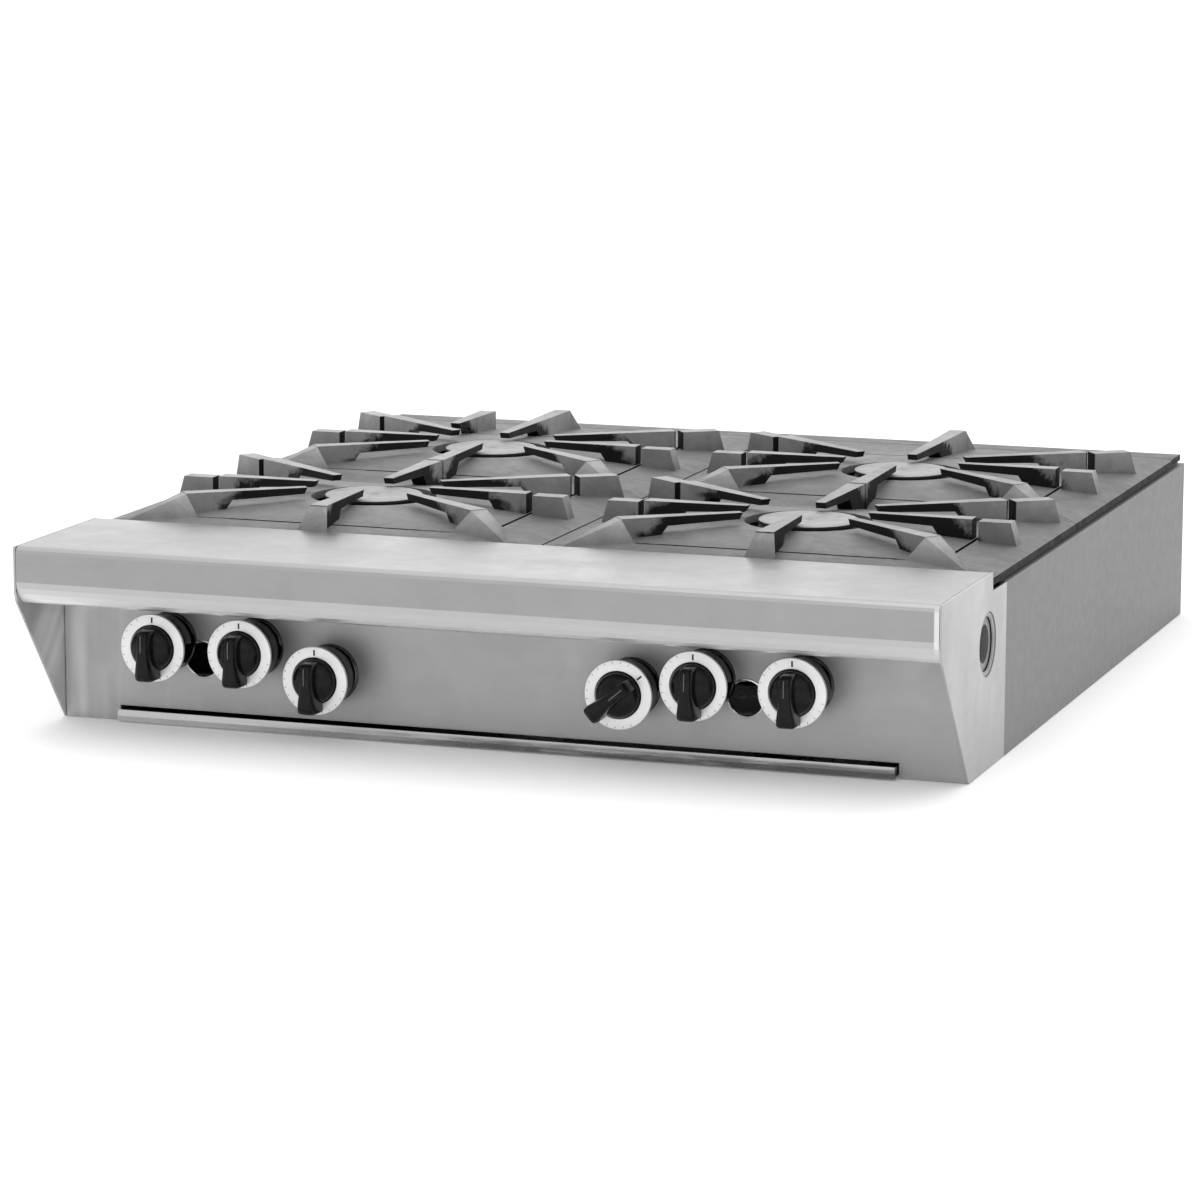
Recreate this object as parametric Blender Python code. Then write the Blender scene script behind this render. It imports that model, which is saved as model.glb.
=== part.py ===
"""Counter-top commercial gas range: stainless body, four star grates, six knobs.

Metres, +Z up. The front of the range faces -Y and the origin lies on the resting
plane, in the middle of the footprint.
"""
import math

import bmesh
import bpy
from mathutils import Matrix, Vector

# ---------------------------------------------------------------- main sizes
WIDTH = 0.8636
DEPTH = 0.9652
FRONT = -DEPTH / 2
BACK = DEPTH / 2
SHEET = 0.002
GAP = 0.0004

DECK_TOP = 0.1744
DECK_DEPTH = 0.1700
NOSE_BOTTOM = 0.1200
NOSE_ROLL = 0.022
NOSE_BEND = 0.006
PANEL_RECESS = 0.0997
CAP_DEPTH = 0.2220
CAP_STEP = 0.1728
SIDE_TOP = 0.1580

FRAME_BOTTOM = 0.1584
FRAME_TOP = 0.1616
FRAME_INSET = 0.006

# ---------------------------------------------------------------- star grates
CELL_W = 0.4290
CELL_D = 0.3190
COLUMN_X = 0.2155
ROW_Y = (FRONT + 0.3330, FRONT + 0.6535)
GRATE_BOTTOM = 0.1620
RIM_TOP = 0.1680
SHOULDER_TOP = 0.1725
CROWN_TOP = 0.1830
FIN_TOP = 0.1945
HOLE_R = 0.0600
DIAGONAL = math.degrees(math.atan2(CELL_D, CELL_W))
REAR_REACH = 0.2565
REAR_START = ROW_Y[1] + REAR_REACH + 0.0020
FIN_TIP_HALF = 0.0048
FIN_END_HALF = 0.0085
GROOVE_X = 0.1600
GROOVE_Y = 0.1250
GROOVE_HALF = 0.0015

# ---------------------------------------------------------------- gas train
MANIFOLD_Y = FRONT + 0.1570
MANIFOLD_Z = 0.1130
MANIFOLD_R = 0.0170
TUBE_R = 0.0190
BORE_R = 0.0145
TUBE_Z = 0.0775
TUBE_START = FRONT + 0.1900
HEAD_R = 0.0470
HEAD_TOP = 0.1830

# knob number: (x, z, pointer turned from straight down, clockwise from the front)
KNOBS = {
    1: (-0.3235, 0.0775, 0.0),
    2: (-0.2379, 0.0775, 0.0),
    3: (-0.1645, 0.0580, 0.0),
    4: (0.1235, 0.0650, 50.0),
    5: (0.1924, 0.0775, 0.0),
    6: (0.2827, 0.0775, 0.0),
}
PANEL_Y = FRONT + PANEL_RECESS
DIAL_FRONT = PANEL_Y - 0.0400
LIGHTING_HOLES = ((-0.2906, 0.0622), (0.2290, 0.0617))
LIGHTING_R = 0.0160
SLOT = (-0.3745, 0.3690, 0.0140)

for old in list(bpy.data.objects):
    bpy.data.objects.remove(old, do_unlink=True)


# ---------------------------------------------------------------- materials
def material(name, colour, metallic, roughness):
    mat = bpy.data.materials.new(name)
    mat.use_nodes = True
    shader = mat.node_tree.nodes["Principled BSDF"]
    shader.inputs["Base Color"].default_value = (*colour, 1.0)
    shader.inputs["Metallic"].default_value = metallic
    shader.inputs["Roughness"].default_value = roughness
    return mat


STEEL = material("stainless", (0.62, 0.62, 0.61), 1.0, 0.34)
GALV = material("coated_steel", (0.48, 0.49, 0.50), 1.0, 0.48)
IRON = material("cast_iron", (0.23, 0.23, 0.23), 0.55, 0.62)
PIPE = material("black_pipe", (0.05, 0.05, 0.05), 0.6, 0.55)
BRASS = material("brass", (0.62, 0.46, 0.20), 1.0, 0.35)
TUBING = material("tubing", (0.60, 0.58, 0.55), 1.0, 0.35)
BLACK = material("black_plastic", (0.012, 0.012, 0.013), 0.0, 0.28)
DIAL = material("satin_dial", (0.82, 0.82, 0.82), 0.7, 0.38)


# ---------------------------------------------------------------- mesh helpers
def make_object(name, bm, mat, smooth=False, origin=None):
    bmesh.ops.remove_doubles(bm, verts=bm.verts[:], dist=1e-6)
    bmesh.ops.recalc_face_normals(bm, faces=bm.faces[:])
    mesh = bpy.data.meshes.new(name)
    if origin is not None:
        bmesh.ops.translate(bm, verts=bm.verts[:], vec=-Vector(origin))
    bm.to_mesh(mesh)
    bm.free()
    mesh.materials.append(mat)
    obj = bpy.data.objects.new(name, mesh)
    bpy.context.scene.collection.objects.link(obj)
    if origin is not None:
        obj.location = origin
    if smooth:
        mesh.shade_smooth()
        mesh.set_sharp_from_angle(angle=math.radians(35))
    return obj


def add_box(bm, x0, x1, y0, y1, z0, z1):
    corners = [bm.verts.new((x, y, z)) for x in (x0, x1) for y in (y0, y1) for z in (z0, z1)]
    for quad in ((0, 1, 3, 2), (4, 6, 7, 5), (0, 4, 5, 1), (2, 3, 7, 6), (0, 2, 6, 4), (1, 5, 7, 3)):
        bm.faces.new([corners[i] for i in quad])


def add_prism(bm, outline, to_low, to_high):
    """Solid between two copies of an outline placed by the two functions."""
    low = [bm.verts.new(to_low(p)) for p in outline]
    high = [bm.verts.new(to_high(p)) for p in outline]
    count = len(outline)
    bm.faces.new(low)
    bm.faces.new(high[::-1])
    for i in range(count):
        j = (i + 1) % count
        bm.faces.new((low[i], high[i], high[j], low[j]))


def along_x(bm, outline, x0, x1):
    add_prism(bm, outline, lambda p: (x0, p[0], p[1]), lambda p: (x1, p[0], p[1]))


def along_y(bm, outline, y0, y1):
    add_prism(bm, outline, lambda p: (p[0], y0, p[1]), lambda p: (p[0], y1, p[1]))


def along_z(bm, outline, z0, z1):
    add_prism(bm, outline, lambda p: (p[0], p[1], z0), lambda p: (p[0], p[1], z1))


def circle(radius, count, centre=(0.0, 0.0), phase=0.0):
    step = 2 * math.pi / count
    return [(centre[0] + radius * math.cos(phase + i * step),
             centre[1] + radius * math.sin(phase + i * step)) for i in range(count)]


def rod_y(bm, x, z, radius, y0, y1, count=16):
    along_y(bm, circle(radius, count, (x, z)), y0, y1)


def rod_z(bm, x, y, radius, z0, z1, count=16):
    along_z(bm, circle(radius, count, (x, y)), z0, z1)


def add_lathe(bm, profile, place, count=24, closed=False):
    """Turn a (radius, height) profile; a closed profile gives a ring."""
    rings = []
    for radius, height in profile:
        if radius < 1e-7:
            rings.append([bm.verts.new(place(0.0, 0.0, height))])
        else:
            rings.append([bm.verts.new(place(px, py, height)) for px, py in circle(radius, count)])
    pairs = list(zip(rings, rings[1:]))
    if closed:
        pairs.append((rings[-1], rings[0]))
    for first, second in pairs:
        for i in range(count):
            j = (i + 1) % count
            if len(first) == 1:
                bm.faces.new((first[0], second[i], second[j]))
            elif len(second) == 1:
                bm.faces.new((first[i], second[0], first[j]))
            else:
                bm.faces.new((first[i], second[i], second[j], first[j]))


def axis_y(x, z):
    """Place a lathe so that its height runs along world Y."""
    return lambda px, py, height: (x + px, height, z + py)


def axis_z(x, y):
    return lambda px, py, height: (x + px, y + py, height)


def add_pipe(bm, points, radius, count=12):
    """Round bar swept along a path of points, capped at both ends."""
    path = [Vector(p) for p in points]
    rings = []
    for i, point in enumerate(path):
        before = path[max(i - 1, 0)]
        after = path[min(i + 1, len(path) - 1)]
        direction = (after - before).normalized()
        helper = Vector((1, 0, 0)) if abs(direction.x) < 0.8 else Vector((0, 0, 1))
        side = direction.cross(helper).normalized()
        up = side.cross(direction)
        rings.append([bm.verts.new(point + side * a + up * b) for a, b in circle(radius, count)])
    for first, second in zip(rings, rings[1:]):
        for i in range(count):
            j = (i + 1) % count
            bm.faces.new((first[i], second[i], second[j], first[j]))
    bm.faces.new(rings[0][::-1])
    bm.faces.new(rings[-1])


def helper_object(name, bm):
    obj = make_object(name, bm, STEEL)
    obj.hide_render = True
    obj.display_type = "WIRE"
    return obj


def combine(obj, other, operation):
    """Apply one exact boolean and drop the helper."""
    mod = obj.modifiers.new(operation.lower(), "BOOLEAN")
    mod.operation = operation
    mod.solver = "EXACT"
    mod.use_self = operation == "UNION"
    mod.object = other
    bpy.context.view_layer.update()
    graph = bpy.context.evaluated_depsgraph_get()
    mesh = bpy.data.meshes.new_from_object(obj.evaluated_get(graph))
    mats = list(obj.data.materials)
    obj.modifiers.clear()
    obj.data = mesh
    mesh.materials.clear()
    for mat in mats:
        mesh.materials.append(mat)
    for poly in mesh.polygons:
        poly.material_index = 0
    bpy.data.objects.remove(other, do_unlink=True)
    return obj


def smooth_edges(obj, angle=35):
    obj.data.shade_smooth()
    obj.data.set_sharp_from_angle(angle=math.radians(angle))


def offset_strip(centre_line, thickness):
    """Closed outline of a bent sheet whose outer face follows the line."""
    inner = []
    count = len(centre_line)
    for i, point in enumerate(centre_line):
        here = Vector(point)
        normals = []
        if i > 0:
            step = (here - Vector(centre_line[i - 1])).normalized()
            normals.append(Vector((-step.y, step.x)))
        if i < count - 1:
            step = (Vector(centre_line[i + 1]) - here).normalized()
            normals.append(Vector((-step.y, step.x)))
        mean = sum(normals, Vector((0, 0))).normalized()
        length = thickness / max(mean.dot(normals[0]), 0.3)
        inner.append(tuple(here + mean * length))
    return list(centre_line) + inner[::-1]


def arc(centre, radius, start, end, steps):
    return [(centre[0] + radius * math.cos(math.radians(start + (end - start) * i / steps)),
             centre[1] + radius * math.sin(math.radians(start + (end - start) * i / steps)))
            for i in range(steps + 1)]


# ---------------------------------------------------------------- front rail
def build_front_rail():
    """Flat deck folded over a bullnose, with a back flange and a lower return."""
    line = [(FRONT + DECK_DEPTH, DECK_TOP - 0.012), (FRONT + DECK_DEPTH, DECK_TOP)]
    line += arc((FRONT + NOSE_BEND, DECK_TOP - NOSE_BEND), NOSE_BEND, 90, 180, 3)
    line += arc((FRONT + NOSE_ROLL, NOSE_BOTTOM + NOSE_ROLL), NOSE_ROLL, 180, 270, 6)
    line += [(FRONT + 0.0600, NOSE_BOTTOM)]
    bm = bmesh.new()
    half = WIDTH / 2 - SHEET - GAP
    along_x(bm, offset_strip(line, SHEET), -half, half)
    obj = make_object("front_rail", bm, STEEL)
    smooth_edges(obj)
    return obj


def build_end_cap(name, side, with_hole):
    """Side plate of the front rail with a sloping lower front edge."""
    roll = 0.012
    outline = [(FRONT, DECK_TOP), (FRONT, NOSE_BOTTOM + roll)]
    outline += [(FRONT + 0.0030, NOSE_BOTTOM + 0.0030)]
    outline += [(FRONT + PANEL_RECESS, 0.0), (FRONT + CAP_DEPTH, 0.0), (FRONT + CAP_DEPTH, SIDE_TOP)]
    outline += [(FRONT + CAP_STEP, SIDE_TOP), (FRONT + CAP_STEP - 0.0010, DECK_TOP)]
    outer = side * WIDTH / 2
    inner = side * (WIDTH / 2 - SHEET)
    bm = bmesh.new()
    along_x(bm, outline, min(outer, inner), max(outer, inner))
    obj = make_object(name, bm, STEEL)
    if with_hole:
        bm = bmesh.new()
        port = circle(0.029, 28, (MANIFOLD_Y, MANIFOLD_Z))
        along_x(bm, port, min(outer, inner) - 0.01, max(outer, inner) + 0.01)
        combine(obj, helper_object("cut", bm), "DIFFERENCE")
    return obj


def build_control_panel():
    """Recessed panel with six stem holes, two lighting holes and a tray slot."""
    half = WIDTH / 2 - SHEET - GAP
    top = NOSE_BOTTOM - 0.0006
    bm = bmesh.new()
    outline = [(PANEL_Y, 0.0), (PANEL_Y, top), (PANEL_Y + SHEET, top), (PANEL_Y + SHEET, SHEET)]
    outline += [(PANEL_Y + 0.016, SHEET), (PANEL_Y + 0.016, 0.0)]
    along_x(bm, outline, -half, half)
    obj = make_object("control_panel", bm, STEEL)
    bm = bmesh.new()
    add_box(bm, SLOT[0], SLOT[1], PANEL_Y - 0.01, PANEL_Y + 0.03, -0.01, SLOT[2])
    for x, z, _turn in KNOBS.values():
        rod_y(bm, x, z, 0.0080, PANEL_Y - 0.01, PANEL_Y + 0.01, 16)
    for x, z in LIGHTING_HOLES:
        rod_y(bm, x, z, LIGHTING_R, PANEL_Y - 0.01, PANEL_Y + 0.01, 28)
    combine(obj, helper_object("cut", bm), "DIFFERENCE")
    return obj


# ---------------------------------------------------------------- body shell
def build_side_panel(name, side):
    y0 = FRONT + CAP_DEPTH + GAP
    outer = WIDTH / 2
    outline = [(outer, 0.0), (outer, SIDE_TOP), (outer - 0.016, SIDE_TOP), (outer - 0.016, SIDE_TOP - SHEET)]
    outline += [(outer - SHEET, SIDE_TOP - SHEET), (outer - SHEET, 0.0)]
    bm = bmesh.new()
    along_y(bm, [(side * x, z) for x, z in outline], y0, BACK)
    return make_object(name, bm, STEEL)


def build_back_panel():
    half = WIDTH / 2 - SHEET - GAP
    top = SIDE_TOP - SHEET - GAP
    bm = bmesh.new()
    outline = [(BACK, 0.0), (BACK, top), (BACK - SHEET, top), (BACK - SHEET, SHEET)]
    outline += [(BACK - 0.020, SHEET), (BACK - 0.020, 0.0)]
    along_x(bm, outline, -half, half)
    return make_object("back_panel", bm, GALV)


def build_tray_rail(name, side):
    """Long base angle: rests on the counter and carries one tray edge."""
    edge = SLOT[1] if side > 0 else -SLOT[0]
    outer = WIDTH / 2 - SHEET - GAP
    inner = edge - 0.014
    outline = [(outer, 0.0), (outer, 0.040), (outer - SHEET, 0.040), (outer - SHEET, SHEET)]
    outline += [(inner, SHEET), (inner, 0.0)]
    bm = bmesh.new()
    along_y(bm, [(side * x, z) for x, z in outline], PANEL_Y + 0.0170, BACK - 0.0210)
    return make_object(name, bm, GALV)


def build_cross_channel(name, y0, leg):
    """Angle across the body above the tray, tying the two base rails."""
    half = WIDTH / 2 - 2 * SHEET - 2 * GAP
    outline = [(y0, 0.0180), (y0, 0.0440), (y0 + SHEET * leg, 0.0440), (y0 + SHEET * leg, 0.0200)]
    outline += [(y0 + 0.022 * leg, 0.0200), (y0 + 0.022 * leg, 0.0180)]
    bm = bmesh.new()
    along_x(bm, outline, -half, half)
    return make_object(name, bm, GALV)


def build_baffle():
    """Upright sheet between the valve space and the burner box, tubes pass through."""
    half = WIDTH / 2 - 2 * SHEET - 2 * GAP
    y0 = FRONT + 0.2300
    bm = bmesh.new()
    add_box(bm, -half, half, y0, y0 + SHEET, 0.0460, 0.1540)
    obj = make_object("burner_box_baffle", bm, GALV)
    bm = bmesh.new()
    for number in (1, 2, 5, 6):
        rod_y(bm, KNOBS[number][0], TUBE_Z, TUBE_R + 0.0025, y0 - 0.01, y0 + 0.01, 20)
    for number in (3, 4):
        rod_y(bm, KNOBS[number][0], KNOBS[number][1], 0.0050, y0 - 0.01, y0 + 0.01, 12)
    combine(obj, helper_object("cut", bm), "DIFFERENCE")
    return obj


def build_drip_tray():
    """Shallow pull-out pan with a raised front lip."""
    x0 = SLOT[0] + 0.0015
    x1 = SLOT[1] - 0.0015
    y0 = PANEL_Y - 0.0100
    y1 = BACK - 0.0500
    floor = 0.0024
    wall = 0.0110
    thick = 0.0014
    bm = bmesh.new()
    lip = [(y0 + 0.0004, 0.0010), (y0, 0.0060), (y0 + 0.0015, wall + 0.0004), (y0 + 0.0030, wall + 0.0004)]
    lip += [(y0 + 0.0030, floor + thick), (y1 - thick, floor + thick), (y1 - thick, wall), (y1, wall)]
    lip += [(y1, floor), (y0 + 0.0050, floor), (y0 + 0.0035, 0.0010)]
    along_x(bm, lip, x0, x1)
    obj = make_object("drip_tray", bm, STEEL)
    bm = bmesh.new()
    add_box(bm, x0, x0 + thick, y0 + 0.0010, y1, floor, wall)
    add_box(bm, x1 - thick, x1, y0 + 0.0010, y1, floor, wall)
    combine(obj, helper_object("walls", bm), "UNION")
    return obj


# ---------------------------------------------------------------- top frame
def build_top_frame():
    """Flat frame with a window under each star grate."""
    half = WIDTH / 2 - FRAME_INSET
    y0 = FRONT + DECK_DEPTH + 0.0010
    y1 = BACK - 0.0040
    bm = bmesh.new()
    add_box(bm, -half, half, y0, y1, FRAME_BOTTOM, FRAME_TOP)
    obj = make_object("top_frame", bm, GALV)
    bm = bmesh.new()
    for y in ROW_Y:
        for x in (-COLUMN_X, COLUMN_X):
            add_box(bm, x - 0.188, x + 0.188, y - 0.144, y + 0.144, 0.14, 0.18)
    combine(obj, helper_object("cut", bm), "DIFFERENCE")
    return obj


def build_rear_plate():
    """Cast strip that closes the top behind the rear grates."""
    half = WIDTH / 2 - 0.0028
    y1 = BACK - 0.0080
    bm = bmesh.new()
    low = [(REAR_START, GRATE_BOTTOM), (REAR_START, RIM_TOP), (REAR_START + 0.008, RIM_TOP + 0.0015)]
    low += [(y1 - 0.010, RIM_TOP + 0.0015), (y1, RIM_TOP), (y1, GRATE_BOTTOM)]
    along_x(bm, low, -half, half)
    return make_object("rear_plate", bm, IRON)


# ---------------------------------------------------------------- grates
def frame_loop(half_x, front, back):
    """Points round a rectangle from its right middle, with the corners among them."""
    quarter = ((1.0, 0.0), (1.0, 0.34), (1.0, 0.67), (1.0, 1.0), (0.67, 1.0), (0.34, 1.0))
    turned = ((0.0, 1.0), (0.34, 1.0), (0.67, 1.0), (1.0, 1.0), (1.0, 0.67), (1.0, 0.34))
    points = [(half_x * a, back * b) for a, b in quarter]
    points += [(-half_x * a, back * b) for a, b in turned]
    points += [(-half_x * a, -front * b) for a, b in quarter]
    points += [(half_x * a, -front * b) for a, b in turned]
    return points


def add_loops(bm, loops):
    """Closed band of faces through loops of equal length; the last joins the first."""
    rings = [[bm.verts.new((x, y, z)) for x, y in loop] for loop, z in loops]
    count = len(rings[0])
    for k, first in enumerate(rings):
        second = rings[(k + 1) % len(rings)]
        for i in range(count):
            j = (i + 1) % count
            bm.faces.new((first[i], first[j], second[j], second[i]))


def grate_shell(bm, front, back):
    """Low pyramid shell with a round burner opening in the middle."""
    hx = CELL_W / 2
    opening = circle(HOLE_R, 24)
    add_loops(bm, [
        (frame_loop(hx, front, back), GRATE_BOTTOM),
        (frame_loop(hx, front, back), RIM_TOP),
        (frame_loop(hx - 0.018, front - 0.016, back - 0.016), SHOULDER_TOP),
        (opening, CROWN_TOP),
        (opening, CROWN_TOP - 0.007),
        (frame_loop(hx - 0.024, front - 0.022, back - 0.022), SHOULDER_TOP - 0.0068),
        (frame_loop(hx - 0.026, front - 0.024, back - 0.024), GRATE_BOTTOM),
    ])


def groove_ring(bm):
    """Narrow rectangular moat round the star."""
    low = SHOULDER_TOP - 0.0010
    high = CROWN_TOP
    outer = frame_loop(GROOVE_X + GROOVE_HALF, GROOVE_Y + GROOVE_HALF, GROOVE_Y + GROOVE_HALF)
    inner = frame_loop(GROOVE_X - GROOVE_HALF, GROOVE_Y - GROOVE_HALF, GROOVE_Y - GROOVE_HALF)
    add_loops(bm, [(outer, low), (outer, high), (inner, high), (inner, low)])


def add_fin(bm, angle, r_in, r_out, arch=0.62, shift=0.0):
    """Radial fin, widest outside: level top, tall outer web, arched underside inward."""
    length = r_out - r_in
    base_z = SHOULDER_TOP - 0.004
    side_view = [(r_out, base_z), (r_out, FIN_TOP), (r_in, FIN_TOP), (r_in + 0.003, FIN_TOP - 0.0060)]
    side_view += [(r_in + arch * length, FIN_TOP - 0.0085), (r_in + (arch + 0.12) * length, base_z)]
    c = math.cos(math.radians(angle))
    s = math.sin(math.radians(angle))

    def place(sign):
        def at(p):
            half = FIN_TIP_HALF + (FIN_END_HALF - FIN_TIP_HALF) * (p[0] - r_in) / length
            return (shift + p[0] * c - sign * half * s, p[0] * s + sign * half * c, p[1])
        return at

    add_prism(bm, side_view, place(-1), place(1))


def add_leg(bm, angle, r_in, r_out):
    """Level land that carries a fin's line on past the groove."""
    base_z = SHOULDER_TOP - 0.004
    top_z = FIN_TOP - 0.0015
    c = math.cos(math.radians(angle))
    s = math.sin(math.radians(angle))
    outline = [(r_in, base_z), (r_in, top_z), (r_out - 0.007, top_z), (r_out, base_z)]

    def place(sign):
        return lambda p: (p[0] * c - sign * FIN_END_HALF * s, p[0] * s + sign * FIN_END_HALF * c, p[1])

    add_prism(bm, outline, place(-1), place(1))


def add_ramp(bm, top, base):
    """Convex wedge from two top corners down to its base corners."""
    points = [(x, y, FIN_TOP - 0.0005) for x, y in top]
    points += [(x, y, SHOULDER_TOP - 0.004) for x, y in tuple(base) + tuple(top)]
    verts = [bm.verts.new(p) for p in points]
    hull = bmesh.ops.convex_hull(bm, input=verts)
    spare = {v for v in hull["geom_interior"] + hull["geom_unused"] if isinstance(v, bmesh.types.BMVert)}
    bmesh.ops.delete(bm, geom=list(spare), context="VERTS")


def build_grate(name, column, row):
    """One lift-off star grate. The rear pair reach further back, with one long rear fin."""
    front = CELL_D / 2
    back = REAR_REACH if row else CELL_D / 2
    bm = bmesh.new()
    grate_shell(bm, front, back)
    obj = make_object(name, bm, IRON)
    bm = bmesh.new()
    groove_ring(bm)
    combine(obj, helper_object("groove", bm), "DIFFERENCE")
    bm = bmesh.new()
    for angle in (0, 180):
        add_fin(bm, angle, 0.058, 0.1570)
        add_leg(bm, angle, 0.1630, 0.2000)
    for angle in (DIAGONAL, 180 - DIAGONAL):
        add_fin(bm, angle, 0.066, 0.1940)
        add_leg(bm, angle, 0.2020, 0.2480)
    for sx in (-1, 1):
        add_fin(bm, 270 + sx * (90 - DIAGONAL), 0.066, 0.184)
        add_ramp(bm, ((sx * 0.1426, -0.1168), (sx * 0.1528, -0.1032)),
                 ((sx * 0.122, -0.128), (sx * 0.196, -0.1560), (sx * 0.176, -0.100), (sx * 0.140, -0.100)))
    if row:
        add_fin(bm, 270, 0.037, front - 0.002)
        add_fin(bm, 90, 0.037, 0.216, 0.45)
        add_ramp(bm, ((-0.0085, 0.2155), (0.0085, 0.2155)), ((-0.0150, 0.2380), (0.0150, 0.2380)))
        if column < 0:
            add_fin(bm, 90, 0.085, 0.184, 0.30, shift=-0.072)
    else:
        add_fin(bm, 90, 0.037, front - 0.002)
        add_fin(bm, 270, 0.037, 0.138)
        add_ramp(bm, ((-0.0085, -0.1375), (0.0085, -0.1375)), ((-0.0160, -0.1565), (0.0160, -0.1565)))
    combine(obj, helper_object("fins", bm), "UNION")
    obj.location = (column * COLUMN_X, ROW_Y[row], 0.0)
    return obj


# ---------------------------------------------------------------- burners
def build_burner(name, valve_number, column, row):
    """One-piece casting: capped head, neck and mixing tube with air windows."""
    tube_x = KNOBS[valve_number][0]
    head = (column * COLUMN_X, ROW_Y[row])
    bm = bmesh.new()
    profile = [(0.0, HEAD_TOP - 0.0005), (0.030, HEAD_TOP), (HEAD_R - 0.003, HEAD_TOP - 0.001)]
    profile += [(HEAD_R, HEAD_TOP - 0.005), (HEAD_R, 0.1690), (0.0400, 0.1640), (0.0330, 0.1500)]
    profile += [(0.0210, 0.1250), (0.0210, 0.0640), (0.0, 0.0640)]
    add_lathe(bm, profile, axis_z(*head), 28)
    obj = make_object(name, bm, IRON)
    bend = head[1] - (0.050 if row == 0 else 0.110)
    bm = bmesh.new()
    add_pipe(bm, [(tube_x, TUBE_START, TUBE_Z), (tube_x, bend - 0.02, TUBE_Z),
                  (head[0], head[1], TUBE_Z)], TUBE_R, 16)
    combine(obj, helper_object("tube", bm), "UNION")
    bm = bmesh.new()
    rod_y(bm, tube_x, TUBE_Z, BORE_R, TUBE_START - 0.01, TUBE_START + 0.060, 16)
    window = (TUBE_START + 0.008, TUBE_START + 0.018, TUBE_Z - 0.006, TUBE_Z + 0.006)
    add_box(bm, tube_x - 0.03, tube_x + 0.03, *window)
    combine(obj, helper_object("bore", bm), "DIFFERENCE")
    smooth_edges(obj)
    return obj


def build_air_shutter(name, valve_number):
    """Loose collar over the air windows, turned to trim the flame."""
    x = KNOBS[valve_number][0]
    inner = TUBE_R + 0.0006
    outer = inner + 0.0016
    y0 = TUBE_START + 0.0030
    y1 = TUBE_START + 0.0230
    bm = bmesh.new()
    place = axis_y(0.0, 0.0)
    add_lathe(bm, [(inner, y0), (outer, y0), (outer, y1), (inner, y1)], place, 20, closed=True)
    obj = make_object(name, bm, GALV)
    bm = bmesh.new()
    add_box(bm, -0.03, 0.03, y0 + 0.006, y1 - 0.006, -0.0045, 0.0045)
    combine(obj, helper_object("window", bm), "DIFFERENCE")
    obj.location = (x, 0.0, TUBE_Z)
    smooth_edges(obj)
    return obj


# ---------------------------------------------------------------- gas supply
def build_manifold():
    bm = bmesh.new()
    half = 0.400
    along_x(bm, circle(MANIFOLD_R, 20, (MANIFOLD_Y, MANIFOLD_Z)), -half, half)
    obj = make_object("gas_manifold", bm, PIPE)
    bm = bmesh.new()
    along_x(bm, circle(0.0135, 16, (MANIFOLD_Y, MANIFOLD_Z)), -half + 0.022, half + 0.01)
    combine(obj, helper_object("bore", bm), "DIFFERENCE")
    smooth_edges(obj)
    return obj


def build_coupling():
    """Socket on the open right end of the manifold, reached through the end cap."""
    bm = bmesh.new()
    outline = [(MANIFOLD_R + GAP, 0.0), (0.0240, 0.0), (0.0240, 0.036), (MANIFOLD_R + GAP, 0.036)]

    def place(px, py, height):
        return (0.392 + height, MANIFOLD_Y + px, MANIFOLD_Z + py)

    add_lathe(bm, outline, place, 20, closed=True)
    return make_object("manifold_coupling", bm, PIPE, smooth=True)


def build_valve(number):
    """Valve body with a neck up to the manifold and an orifice hood behind."""
    x, z, _turn = KNOBS[number]
    bm = bmesh.new()
    rod_y(bm, x, z, 0.0105, PANEL_Y + 0.0060, MANIFOLD_Y + 0.012, 14)
    obj = make_object("valve_%d" % number, bm, BRASS)
    bm = bmesh.new()
    rod_z(bm, x, MANIFOLD_Y, 0.0070, z, MANIFOLD_Z - MANIFOLD_R - GAP, 12)
    hood = 0.0060 if number in (1, 2, 5, 6) else 0.0042
    rod_y(bm, x, z, hood, MANIFOLD_Y, TUBE_START - 0.0030, 12)
    combine(obj, helper_object("neck", bm), "UNION")
    bm = bmesh.new()
    rod_y(bm, x, z, 0.0052, PANEL_Y, PANEL_Y + 0.0330, 12)
    rod_y(bm, x, z, 0.0022, MANIFOLD_Y + 0.016, TUBE_START, 10)
    combine(obj, helper_object("bores", bm), "DIFFERENCE")
    smooth_edges(obj)
    return obj


def build_pilot(name, valve_number, column):
    """Thin pilot tube run back from the low valve, ending in an upright tip."""
    x, z, _turn = KNOBS[valve_number]
    start = TUBE_START - 0.0025
    mid_y = (ROW_Y[0] + ROW_Y[1]) / 2
    tip_x = column * (COLUMN_X - 0.060)
    bm = bmesh.new()
    path = [(x, start, z), (x, start + 0.06, z), (x, mid_y - 0.030, z), (tip_x, mid_y - 0.004, z + 0.006)]
    path += [(tip_x, mid_y, z + 0.016), (tip_x, mid_y, 0.1380)]
    add_pipe(bm, path, 0.0030, 8)
    obj = make_object(name, bm, TUBING)
    bm = bmesh.new()
    rod_z(bm, tip_x, mid_y, 0.0060, 0.1340, 0.1500, 10)
    combine(obj, helper_object("tip", bm), "UNION")
    smooth_edges(obj)
    return obj


# ---------------------------------------------------------------- knobs
def knob_place(turn):
    """Rotation about Y; positive turn is clockwise as seen from the front."""
    return Matrix.Rotation(math.radians(turn), 4, "Y")


def set_knob_frame(obj, number):
    """Meshes are drawn about the stem axis with the pointer straight down."""
    x, z, turn = KNOBS[number]
    obj.data.transform(knob_place(turn))
    obj.location = (x, DIAL_FRONT, z)


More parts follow.
